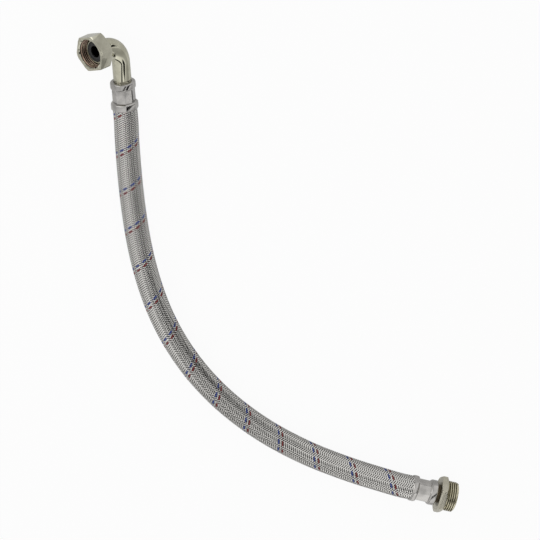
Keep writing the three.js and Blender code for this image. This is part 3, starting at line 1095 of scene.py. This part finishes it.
# %% [markdown]
# The rubber is matt, with the faint grain of its mould.

# %% Rubber finish
RUBBER_SCALE = 1400
RUBBER_DETAIL = 5
RUBBER_POLISH = (-0.08, 0.1)
RUBBER_RELIEF = 0.3
RUBBER_DEPTH = 0.05 * MM


def rubber_finish(name, dark, light, rough):
    """Rubber of a grey between two values."""
    finish, tree, shader = new_finish(name, (light,) * 3, 0, rough)
    place = add_node(tree, "ShaderNodeTexCoord").outputs["Object"]
    grain = noise(tree, place, RUBBER_SCALE, RUBBER_DETAIL)
    colour = colour_band(tree, grain, (dark,) * 3, (light,) * 3)
    polish = scaled(tree, grain, rough + RUBBER_POLISH[0], rough + RUBBER_POLISH[1], GRAIN_RANGE)
    dress(tree, shader, colour, polish, grain, RUBBER_RELIEF, RUBBER_DEPTH)
    return finish


# %% [markdown]
# The flanks of both threads are darker than the plate round them. The male fitting's neck is
# near black: painted shade in the deep groove between ferrule and flange. They are second
# materials on their pieces.

# %% Give each piece its finish
# First colour: painted shade in grooves and at edges; last pair: where the edge shade ends.
steel_wire = strand_finish(
    "steel_wire", (0.03, 0.03, 0.027), (0.98, 0.96, 0.92), 1, 0.2, (0.13, 0.36)
)
blue_wire = strand_finish(
    "blue_wire", (0.006, 0.014, 0.06), (0.02, 0.05, 0.27), 0, 0.45, (0.02, 0.12)
)
red_wire = strand_finish(
    "red_wire", (0.04, 0.003, 0.003), (0.2, 0.01, 0.01), 0, 0.45, (0.02, 0.12)
)
tube_rubber = rubber_finish("tube_rubber", 0.012, 0.03, 0.6)
seal_rubber = rubber_finish("seal_rubber", 0.010, 0.022, 0.45)
# Dark and light colour, smallest and largest roughness, scale and strength of the marks.
METALS = {
    "ferrule_steel": ((0.36, 0.35, 0.335), (0.50, 0.485, 0.465), (0.09, 0.18), 700, 0.03),
    "nickel_plate": ((0.46, 0.445, 0.35), (0.57, 0.555, 0.445), (0.05, 0.11), 500, 0.03),
    # A darker copy of the nickel plate: painted shade, so the nut's flats mirror the floor less.
    "nut_plate_painted_shade": ((0.40, 0.385, 0.31), (0.50, 0.485, 0.395), (0.06, 0.12), 500, 0.03),
    "plated_thread": ((0.50, 0.46, 0.31), (0.66, 0.62, 0.46), (0.16, 0.26), 700, 0.05),
    "plated_flange": ((0.48, 0.455, 0.37), (0.55, 0.525, 0.435), (0.32, 0.34), 700, 0.0),
    "thread_flank": ((0.12, 0.10, 0.06), (0.22, 0.19, 0.12), (0.3, 0.42), 700, 0.05),
    # Near black: painted shade for the deep groove of the neck.
    "neck_painted_shade": ((0.05, 0.04, 0.025), (0.12, 0.095, 0.06), (0.4, 0.55), 700, 0.05),
    "nut_thread_flank": ((0.16, 0.11, 0.08), (0.30, 0.22, 0.17), (0.25, 0.38), 700, 0.05),
}
metals = {name: plated_metal(name, *look) for name, look in METALS.items()}

finishes = {
    steel_wire: (braid_right, braid_left),
    blue_wire: (blue_strand,),
    red_wire: (red_strand,),
    tube_rubber: (tube,),
    seal_rubber: (seal,),
    metals["ferrule_steel"]: (ferrule_elbow, ferrule_male),
    metals["nickel_plate"]: (elbow,),
    metals["nut_plate_painted_shade"]: (nut, nut_thread),
    metals["plated_thread"]: (male_thread, stem),
    metals["plated_flange"]: (flange,),
}
for finish, wearers in finishes.items():
    for piece in wearers:
        piece.data.materials.clear()
        piece.data.materials.append(finish)
second_finishes = {
    nut_thread: metals["nut_thread_flank"],
    male_thread: metals["thread_flank"],
    stem: metals["neck_painted_shade"],
}
for piece, finish in second_finishes.items():
    piece.data.materials.append(finish)
for piece in (nut_thread, male_thread):
    for face in flank_faces[piece.name]:
        piece.data.polygons[face].material_index = 1
# The neck's faces get the near-black painted shade.
for face in stem.data.polygons:
    depth = (face.center - MALE_MOUTH).dot(MALE_AXIS)
    if male_lip - MM < depth < flange_start + MM:
        face.material_index = 1
print("finishes:", len(finishes) + len(second_finishes))

# %% [markdown]
# ## Bodies
# Every piece is parented to an empty for its body: the nut and its thread to the nut, the rest
# to the hose. Each solid that a finer piece stands for is hidden.

# %% Bodies and the hidden solids
hose_slots = {
    "hose_rubber": (tube,),
    "braid": (braid_right, braid_left, blue_strand, red_strand),
    "ferrule_steel": (ferrule_elbow, ferrule_male),
    "nickel_plate": (elbow,),
    "seal_rubber": (seal,),
    "plated_brass": (stem, flange, male_thread),
}
nut_slots = {"nickel_plate": (nut, nut_thread)}
for body, slots in (("hose", hose_slots), ("nut", nut_slots)):
    for slot, pieces in slots.items():
        for piece in pieces:
            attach(piece, body)
stands_for = {
    tube: "inner_tube",
    braid_right: "braid_sleeve",
    ferrule_elbow: "ferrule_elbow_end",
    ferrule_male: "ferrule_male_end",
    elbow: "elbow_pipe",
    nut: "union_nut",
    seal: "gasket",
    stem: "male_fitting",
}
for piece, node in stands_for.items():
    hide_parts(node)

# %% [markdown]
# ## Floor and light
# The hose lies on a white sheet that runs out of the picture. To the camera the sheet is almost
# white by itself, and it still takes the soft shadow under the hose. The light is a pale tent,
# brightest beside the camera, with a dark gap to the lower right of it and a shorter dark slit
# beyond the gap. Every polished piece shows them as dark lines, and bright metal needs such lines
# to look like metal. One soft box from the upper left gives the shadows a direction.

# %% Floor
FLOOR_WIDTH = 8.0
SEEN_SHARE = 0.94
MIRRORED_SHARE = 0.25
SHEET_GREY = (0.8, 0.8, 0.8)
SHEET_ROUGHNESS = 0.9
SHEET_SHINE = 0.1
WHITE = (1, 1, 1, 1)


def white_sheet():
    """Pale floor that the camera sees as white and that keeps a faint shadow."""
    finish, tree, shader = new_finish("white_sheet", SHEET_GREY, 0, SHEET_ROUGHNESS)
    shader.inputs["Specular IOR Level"].default_value = SHEET_SHINE
    glow = add_node(tree, "ShaderNodeEmission")
    glow.inputs["Color"].default_value = WHITE
    path = add_node(tree, "ShaderNodeLightPath").outputs
    seen = math_node(tree, "MAXIMUM", path["Is Camera Ray"], path["Is Transmission Ray"])
    shown = scaled(tree, seen, 0, SEEN_SHARE)
    mirrored = scaled(tree, path["Is Glossy Ray"], 0, MIRRORED_SHARE)
    share = math_node(tree, "MAXIMUM", shown, mirrored)
    mix = add_node(tree, "ShaderNodeMixShader")
    tree.links.new(share, mix.inputs["Fac"])
    tree.links.new(shader.outputs["BSDF"], mix.inputs[1])
    tree.links.new(glow.outputs["Emission"], mix.inputs[2])
    tree.links.new(mix.outputs["Shader"], tree.nodes["Material Output"].inputs["Surface"])
    return finish


bpy.ops.mesh.primitive_plane_add(size=FLOOR_WIDTH, location=(0, 0, 0))
floor = bpy.context.active_object
floor.name = "floor"
floor.data.materials.append(white_sheet())

# %% Tent
GAP_SIDE = Vector((1, -1, 0)).normalized()
SLIT_SIDE = Vector((1, 1, 0)).normalized()
SLIT_START = (0.48, 0.51)
SLIT_END = (0.72, 0.75)
SLIT_LIMIT = (-0.3, -0.12)
TENT_STOPS = (
    (-1.0, 0.45),
    (-0.6, 0.6),
    (-0.3, 0.85),
    (0.2, 1.0),
    (0.24, 0.05),
    (0.38, 0.05),
    (0.42, 1.25),
    (0.74, 1.1),
    (0.86, 0.55),
    (1.0, 0.4),
)


def tent_world():
    """White to the camera. To the object, a soft tent with a dark gap and a shorter dark slit."""
    world = bpy.data.worlds.new("tent")
    world.use_nodes = True
    tree = world.node_tree
    tree.nodes.clear()
    place = add_node(tree, "ShaderNodeTexCoord").outputs["Generated"]

    def towards(side):
        """How far the direction of the light lies towards one side."""
        facing = add_node(tree, "ShaderNodeVectorMath", operation="DOT_PRODUCT")
        tree.links.new(place, facing.inputs[0])
        facing.inputs[1].default_value = tuple(side)
        return facing.outputs["Value"]

    gap_side = towards(GAP_SIDE)
    across = scaled(tree, gap_side, 0, 1, (-1, 1))
    ramp = add_node(tree, "ShaderNodeValToRGB")
    stops = ramp.color_ramp.elements
    for _ in TENT_STOPS[2:]:
        stops.new(0.5)
    for stop, (place_across, light) in zip(stops, TENT_STOPS):
        stop.position = (place_across + 1) / 2
        stop.color = (light, light, light, 1)
    tree.links.new(across, ramp.inputs["Fac"])
    tent = add_node(tree, "ShaderNodeBackground")
    tree.links.new(ramp.outputs["Color"], tent.inputs["Color"])
    slit = scaled(tree, gap_side, 0, 1, SLIT_START)
    for edge in (
        scaled(tree, gap_side, 1, 0, SLIT_END),
        scaled(tree, towards(SLIT_SIDE), 0, 1, SLIT_LIMIT),
    ):
        slit = math_node(tree, "MULTIPLY", slit, edge)
    tree.links.new(scaled(tree, slit, 1, 0), tent.inputs["Strength"])
    white = add_node(tree, "ShaderNodeBackground")
    white.inputs["Color"].default_value = WHITE
    path = add_node(tree, "ShaderNodeLightPath")
    mix = add_node(tree, "ShaderNodeMixShader")
    output = add_node(tree, "ShaderNodeOutputWorld")
    tree.links.new(path.outputs["Is Camera Ray"], mix.inputs["Fac"])
    tree.links.new(tent.outputs["Background"], mix.inputs[1])
    tree.links.new(white.outputs["Background"], mix.inputs[2])
    tree.links.new(mix.outputs["Shader"], output.inputs["Surface"])
    return world


scene.world = tent_world()
scene.view_settings.view_transform = "Standard"


# %% Soft box
# Its place is in the photograph's own directions, and it is aimed at the middle.
BOX_RIGHT, BOX_UP, BOX_BACK = -1.5, 0.4, 1.25
BOX_WIDTH = 0.9
BOX_HEIGHT = 2.0
BOX_POWER = 8

light = bpy.data.lights.new("soft_box_left", "AREA")
light.shape = "RECTANGLE"
light.size = BOX_WIDTH
light.size_y = BOX_HEIGHT
light.energy = BOX_POWER
box = bpy.data.objects.new("soft_box_left", light)
scene.collection.objects.link(box)
box_place = picture_right * BOX_RIGHT + picture_up * BOX_UP + to_camera * BOX_BACK
box.location = looked_at + box_place
box.rotation_mode = "QUATERNION"
box.rotation_quaternion = (-box_place).to_track_quat("-Z", "Y")
print("the soft box stands", round(box_place.length, 2), "m from the middle")
